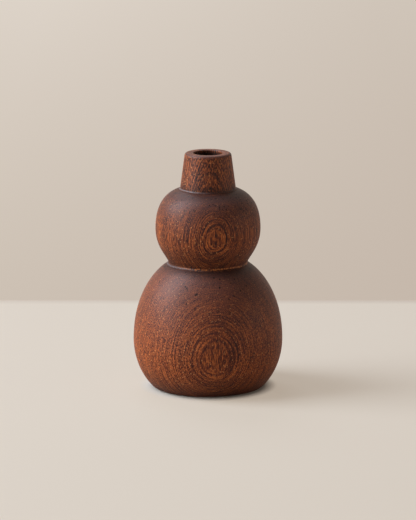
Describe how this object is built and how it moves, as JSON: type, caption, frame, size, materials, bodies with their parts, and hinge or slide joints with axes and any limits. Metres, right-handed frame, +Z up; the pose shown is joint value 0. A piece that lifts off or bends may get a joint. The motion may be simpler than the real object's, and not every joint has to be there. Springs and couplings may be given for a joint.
{
  "type": "double gourd vase",
  "caption": "Turned hardwood vase of two stacked gourd bulbs and a tapering neck, glued at its creases, with a lift-out glass tube that holds water for a flower stem.",
  "frame": {"origin": "middle of the felt underside that the vase stands on", "axes": "+Z up along the turning axis; the vase is round, and the picture looks along +Y"},
  "size_m": [0.0754, 0.0754, 0.12],
  "materials": {
    "oiled_hardwood": "fine turned and sanded, oiled and waxed to a satin sheen",
    "plain_hardwood": "turned and sanded, left bare",
    "tube_glass": "clear drawn glass with a melted lip",
    "cork": "pressed cork granules",
    "felt": "pressed wool felt"
  },
  "bodies": {
    "vase": {"lower_bulb": "oiled_hardwood", "upper_bulb": "oiled_hardwood", "neck_collar": "oiled_hardwood", "base_plug": "plain_hardwood", "tube_cushion": "cork", "base_pad": "felt"},
    "tube": {"water_tube": "tube_glass"}
  },
  "joints": [
    {"name": "tube_lift", "type": "slide", "parent": "vase", "child": "tube", "axis": [0, 0, 1], "range_m": [0, 0.11]}
  ]
}
